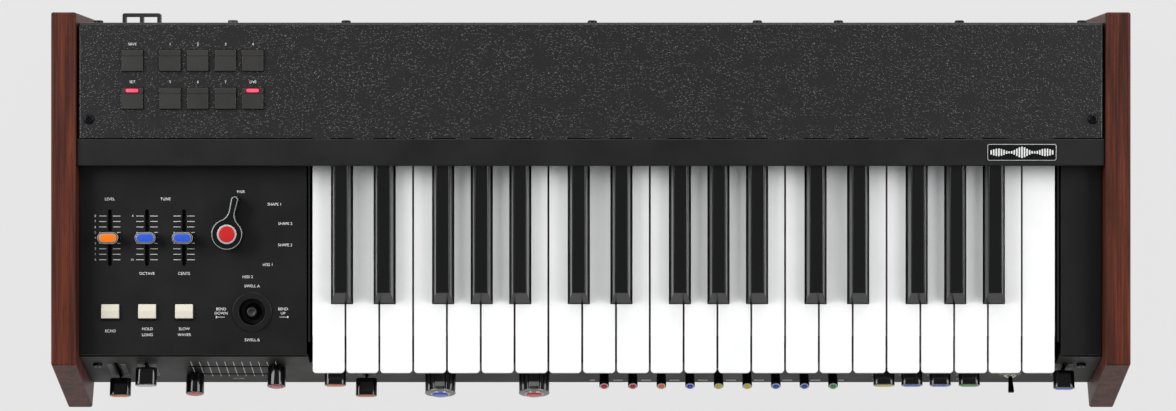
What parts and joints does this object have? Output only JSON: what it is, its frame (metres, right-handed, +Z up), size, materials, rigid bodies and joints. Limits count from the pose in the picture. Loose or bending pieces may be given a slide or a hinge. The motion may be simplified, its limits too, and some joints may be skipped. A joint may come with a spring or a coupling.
{
  "type": "synthesizer",
  "caption": "Desktop analogue-style keyboard synthesizer with wooden end cheeks, a left control panel and controls on the sloped front below the keys.",
  "frame": {"origin": "on the table under the middle of the instrument's outline", "axes": "+X to the player's right along the keys, +Y away from the player, +Z up"},
  "size_m": [0.756, 0.2821, 0.145],
  "materials": {
    "walnut": "oiled walnut-toned veneer, satin",
    "hammered_enamel": "black hammer-texture enamel",
    "strip_enamel": "black fine-texture enamel",
    "panel_enamel": "satin black enamel",
    "front_enamel": "satin black enamel",
    "base_enamel": "matt black powder coat",
    "chassis_steel": "zinc-plated sheet",
    "board_laminate": "green solder mask on glass laminate",
    "tank_steel": "plated sheet",
    "socket_nylon": "moulded black nylon",
    "screw_black": "black oxide",
    "foot_rubber": "moulded rubber",
    "key_white": "polished white moulding",
    "key_black": "polished black moulding",
    "cap_black": "polished black moulding",
    "rocker_ivory": "ivory moulding",
    "button_black": "fine-grained black moulding",
    "stick_black": "moulded black nylon",
    "lever_black": "black plated lever",
    "insert_orange": "coloured insert",
    "insert_blue": "coloured insert",
    "insert_red": "coloured insert",
    "insert_yellow": "coloured insert",
    "insert_green": "coloured insert",
    "insert_white": "pale insert",
    "silver_plating": "bright plating",
    "nickel": "nickel plating",
    "white_print": "screen-printed white ink",
    "lamp_red": "lit red window",
    "felt_red": "wool felt"
  },
  "bodies": {
    "case": {"base_pan": "base_enamel", "left_cheek": "walnut", "right_cheek": "walnut", "rear_cover": "hammered_enamel", "nameboard": "strip_enamel", "front_panel": "front_enamel", "control_panel": "panel_enamel", "right_panel": "panel_enamel", "key_frame": "chassis_steel", "circuit_boards": "board_laminate", "spring_reverb": "tank_steel", "rear_sockets": "socket_nylon", "screws": "screw_black", "rubber_feet": "foot_rubber"},
    "keys_c": {"keys_c": "key_white"},
    "keys_c_sharp": {"keys_c_sharp": "key_black"},
    "memory_buttons": {"memory_buttons": "button_black"},
    "panel_slider_1": {"panel_slider_1": "cap_black"},
    "panel_slider_2": {"panel_slider_2": "cap_black"},
    "panel_slider_3": {"panel_slider_3": "cap_black"},
    "selector_knob": {"selector_knob": "cap_black"},
    "joystick_ring": {"joystick_ring": "stick_black"},
    "joystick_stick": {"joystick_stick": "stick_black"},
    "rocker_1": {"rocker_1": "rocker_ivory"},
    "rocker_2": {"rocker_2": "rocker_ivory"},
    "rocker_3": {"rocker_3": "rocker_ivory"},
    "upper_filter_slider": {"upper_filter_slider": "cap_black"},
    "lower_filter_slider": {"lower_filter_slider": "cap_black"},
    "tone_knob": {"tone_knob": "cap_black"},
    "sweep_knob": {"sweep_knob": "cap_black"},
    "toggle_1": {"toggle_1": "cap_black"},
    "bat_toggle": {"bat_toggle": "lever_black"},
    "power_button": {"power_button": "button_black"},
    "balance_slider": {"balance_slider": "cap_black"},
    "level_slider": {"level_slider": "cap_black"},
    "depth_slider": {"depth_slider": "cap_black"},
    "rate_slider": {"rate_slider": "cap_black"},
    "attack_slider": {"attack_slider": "cap_black"},
    "decay_slider": {"decay_slider": "cap_black"},
    "hold_slider": {"hold_slider": "cap_black"},
    "release_slider": {"release_slider": "cap_black"},
    "echo_slider": {"echo_slider": "cap_black"},
    "keys_d": {"keys_d": "key_white"},
    "keys_d_sharp": {"keys_d_sharp": "key_black"},
    "keys_e": {"keys_e": "key_white"},
    "keys_f": {"keys_f": "key_white"},
    "keys_f_sharp": {"keys_f_sharp": "key_black"},
    "keys_g": {"keys_g": "key_white"},
    "keys_g_sharp": {"keys_g_sharp": "key_black"},
    "keys_a": {"keys_a": "key_white"},
    "keys_a_sharp": {"keys_a_sharp": "key_black"},
    "keys_b": {"keys_b": "key_white"},
    "toggle_2": {"toggle_2": "cap_black"},
    "toggle_3": {"toggle_3": "cap_black"},
    "toggle_4": {"toggle_4": "cap_black"},
    "toggle_5": {"toggle_5": "cap_black"},
    "toggle_6": {"toggle_6": "cap_black"},
    "toggle_7": {"toggle_7": "cap_black"},
    "toggle_8": {"toggle_8": "cap_black"},
    "toggle_9": {"toggle_9": "cap_black"}
  },
  "joints": [
    {"name": "key_c_press", "type": "hinge", "parent": "case", "child": "keys_c", "pos_m": [0, 0.072, 0.112], "axis": [1, 0, 0], "range_deg": [0, 2.94], "stiffness_Nm_per_rad": 1.5, "springref_deg": -14.32},
    {"name": "key_c_sharp_press", "type": "hinge", "parent": "case", "child": "keys_c_sharp", "pos_m": [0, 0.072, 0.112], "axis": [1, 0, 0], "range_deg": [0, 2.94], "stiffness_Nm_per_rad": 1.5, "springref_deg": -14.32},
    {"name": "memory_buttons_press", "type": "slide", "parent": "case", "child": "memory_buttons", "axis": [0, 0, -1], "range_m": [0, 0.0012], "stiffness_N_per_m": 600, "springref_m": -0.0015},
    {"name": "panel_slider_1_slide", "type": "slide", "parent": "case", "child": "panel_slider_1", "axis": [0, 1, 0], "range_m": [-0.015, 0.015]},
    {"name": "panel_slider_2_slide", "type": "slide", "parent": "case", "child": "panel_slider_2", "axis": [0, 1, 0], "range_m": [-0.015, 0.015]},
    {"name": "panel_slider_3_slide", "type": "slide", "parent": "case", "child": "panel_slider_3", "axis": [0, 1, 0], "range_m": [-0.015, 0.015]},
    {"name": "selector_turn", "type": "hinge", "parent": "case", "child": "selector_knob", "pos_m": [-0.2552, -0.0153, 0.127], "axis": [0, 0, 1], "range_deg": [-150, 0]},
    {"name": "joystick_left_right", "type": "hinge", "parent": "case", "child": "joystick_ring", "pos_m": [-0.2387, -0.0701, 0.112], "axis": [0, 1, 0], "range_deg": [-12, 12], "stiffness_Nm_per_rad": 0.06},
    {"name": "joystick_forward_back", "type": "hinge", "parent": "joystick_ring", "child": "joystick_stick", "pos_m": [-0.2387, -0.0701, 0.112], "axis": [1, 0, 0], "range_deg": [-12, 12], "stiffness_Nm_per_rad": 0.06},
    {"name": "rocker_1_tilt", "type": "hinge", "parent": "case", "child": "rocker_1", "pos_m": [-0.3385, -0.0703, 0.124], "axis": [1, 0, 0], "range_deg": [0, 16]},
    {"name": "rocker_2_tilt", "type": "hinge", "parent": "case", "child": "rocker_2", "pos_m": [-0.3125, -0.0703, 0.124], "axis": [1, 0, 0], "range_deg": [0, 16]},
    {"name": "rocker_3_tilt", "type": "hinge", "parent": "case", "child": "rocker_3", "pos_m": [-0.2865, -0.0703, 0.124], "axis": [1, 0, 0], "range_deg": [0, 16]},
    {"name": "upper_filter_slide", "type": "slide", "parent": "case", "child": "upper_filter_slider", "axis": [1, 0, 0], "range_m": [-0.06, 0]},
    {"name": "lower_filter_slide", "type": "slide", "parent": "case", "child": "lower_filter_slider", "axis": [1, 0, 0], "range_m": [0, 0.06]},
    {"name": "tone_turn", "type": "hinge", "parent": "case", "child": "tone_knob", "pos_m": [-0.1073, -0.1125, 0.09], "axis": [0, -0.9563, 0.2924], "range_deg": [-150, 150]},
    {"name": "sweep_turn", "type": "hinge", "parent": "case", "child": "sweep_knob", "pos_m": [-0.0404, -0.1125, 0.09], "axis": [0, -0.9563, 0.2924], "range_deg": [-150, 150]},
    {"name": "toggle_1_flip", "type": "hinge", "parent": "case", "child": "toggle_1", "pos_m": [0.0095, -0.10867, 0.08883], "axis": [1, 0, 0], "range_deg": [0, 50]},
    {"name": "bat_toggle_flip", "type": "hinge", "parent": "case", "child": "bat_toggle", "pos_m": [0.30049, -0.11459, 0.07976], "axis": [1, 0, 0], "range_deg": [0, 24]},
    {"name": "power_button_press", "type": "slide", "parent": "case", "child": "power_button", "axis": [0, -1, 0], "range_m": [0, 0.003], "stiffness_N_per_m": 300, "springref_m": -0.002},
    {"name": "balance_slide", "type": "slide", "parent": "case", "child": "balance_slider", "axis": [0, 0.2924, 0.9563], "range_m": [0, 0.03]},
    {"name": "level_slide", "type": "slide", "parent": "case", "child": "level_slider", "axis": [0, 0.2924, 0.9563], "range_m": [-0.03, 0]},
    {"name": "depth_slide", "type": "slide", "parent": "case", "child": "depth_slider", "axis": [0, 0.2924, 0.9563], "range_m": [-0.03, 0]},
    {"name": "rate_slide", "type": "slide", "parent": "case", "child": "rate_slider", "axis": [0, 0.2924, 0.9563], "range_m": [0, 0.03]},
    {"name": "attack_slide", "type": "slide", "parent": "case", "child": "attack_slider", "axis": [0, 0.2924, 0.9563], "range_m": [-0.03, 0]},
    {"name": "decay_slide", "type": "slide", "parent": "case", "child": "decay_slider", "axis": [0, 0.2924, 0.9563], "range_m": [-0.03, 0]},
    {"name": "hold_slide", "type": "slide", "parent": "case", "child": "hold_slider", "axis": [0, 0.2924, 0.9563], "range_m": [-0.03, 0]},
    {"name": "release_slide", "type": "slide", "parent": "case", "child": "release_slider", "axis": [0, 0.2924, 0.9563], "range_m": [-0.03, 0]},
    {"name": "echo_slide", "type": "slide", "parent": "case", "child": "echo_slider", "axis": [0, 0.2924, 0.9563], "range_m": [-0.0212, 0.0088]},
    {"name": "key_d_press", "type": "hinge", "parent": "case", "child": "keys_d", "pos_m": [0, 0.072, 0.112], "axis": [1, 0, 0], "range_deg": [0, 2.94], "stiffness_Nm_per_rad": 1.5, "springref_deg": -14.32},
    {"name": "key_d_sharp_press", "type": "hinge", "parent": "case", "child": "keys_d_sharp", "pos_m": [0, 0.072, 0.112], "axis": [1, 0, 0], "range_deg": [0, 2.94], "stiffness_Nm_per_rad": 1.5, "springref_deg": -14.32},
    {"name": "key_e_press", "type": "hinge", "parent": "case", "child": "keys_e", "pos_m": [0, 0.072, 0.112], "axis": [1, 0, 0], "range_deg": [0, 2.94], "stiffness_Nm_per_rad": 1.5, "springref_deg": -14.32},
    {"name": "key_f_press", "type": "hinge", "parent": "case", "child": "keys_f", "pos_m": [0, 0.072, 0.112], "axis": [1, 0, 0], "range_deg": [0, 2.94], "stiffness_Nm_per_rad": 1.5, "springref_deg": -14.32},
    {"name": "key_f_sharp_press", "type": "hinge", "parent": "case", "child": "keys_f_sharp", "pos_m": [0, 0.072, 0.112], "axis": [1, 0, 0], "range_deg": [0, 2.94], "stiffness_Nm_per_rad": 1.5, "springref_deg": -14.32},
    {"name": "key_g_press", "type": "hinge", "parent": "case", "child": "keys_g", "pos_m": [0, 0.072, 0.112], "axis": [1, 0, 0], "range_deg": [0, 2.94], "stiffness_Nm_per_rad": 1.5, "springref_deg": -14.32},
    {"name": "key_g_sharp_press", "type": "hinge", "parent": "case", "child": "keys_g_sharp", "pos_m": [0, 0.072, 0.112], "axis": [1, 0, 0], "range_deg": [0, 2.94], "stiffness_Nm_per_rad": 1.5, "springref_deg": -14.32},
    {"name": "key_a_press", "type": "hinge", "parent": "case", "child": "keys_a", "pos_m": [0, 0.072, 0.112], "axis": [1, 0, 0], "range_deg": [0, 2.94], "stiffness_Nm_per_rad": 1.5, "springref_deg": -14.32},
    {"name": "key_a_sharp_press", "type": "hinge", "parent": "case", "child": "keys_a_sharp", "pos_m": [0, 0.072, 0.112], "axis": [1, 0, 0], "range_deg": [0, 2.94], "stiffness_Nm_per_rad": 1.5, "springref_deg": -14.32},
    {"name": "key_b_press", "type": "hinge", "parent": "case", "child": "keys_b", "pos_m": [0, 0.072, 0.112], "axis": [1, 0, 0], "range_deg": [0, 2.94], "stiffness_Nm_per_rad": 1.5, "springref_deg": -14.32},
    {"name": "toggle_2_flip", "type": "hinge", "parent": "case", "child": "toggle_2", "pos_m": [0.02985, -0.10867, 0.08883], "axis": [1, 0, 0], "range_deg": [0, 50]},
    {"name": "toggle_3_flip", "type": "hinge", "parent": "case", "child": "toggle_3", "pos_m": [0.0502, -0.10867, 0.08883], "axis": [1, 0, 0], "range_deg": [0, 50]},
    {"name": "toggle_4_flip", "type": "hinge", "parent": "case", "child": "toggle_4", "pos_m": [0.07055, -0.10867, 0.08883], "axis": [1, 0, 0], "range_deg": [0, 50]},
    {"name": "toggle_5_flip", "type": "hinge", "parent": "case", "child": "toggle_5", "pos_m": [0.0909, -0.10867, 0.08883], "axis": [1, 0, 0], "range_deg": [0, 50]},
    {"name": "toggle_6_flip", "type": "hinge", "parent": "case", "child": "toggle_6", "pos_m": [0.11125, -0.10867, 0.08883], "axis": [1, 0, 0], "range_deg": [0, 50]},
    {"name": "toggle_7_flip", "type": "hinge", "parent": "case", "child": "toggle_7", "pos_m": [0.1316, -0.10867, 0.08883], "axis": [1, 0, 0], "range_deg": [0, 50]},
    {"name": "toggle_8_flip", "type": "hinge", "parent": "case", "child": "toggle_8", "pos_m": [0.15196, -0.10867, 0.08883], "axis": [1, 0, 0], "range_deg": [0, 50]},
    {"name": "toggle_9_flip", "type": "hinge", "parent": "case", "child": "toggle_9", "pos_m": [0.17231, -0.10867, 0.08883], "axis": [1, 0, 0], "range_deg": [0, 50]}
  ]
}
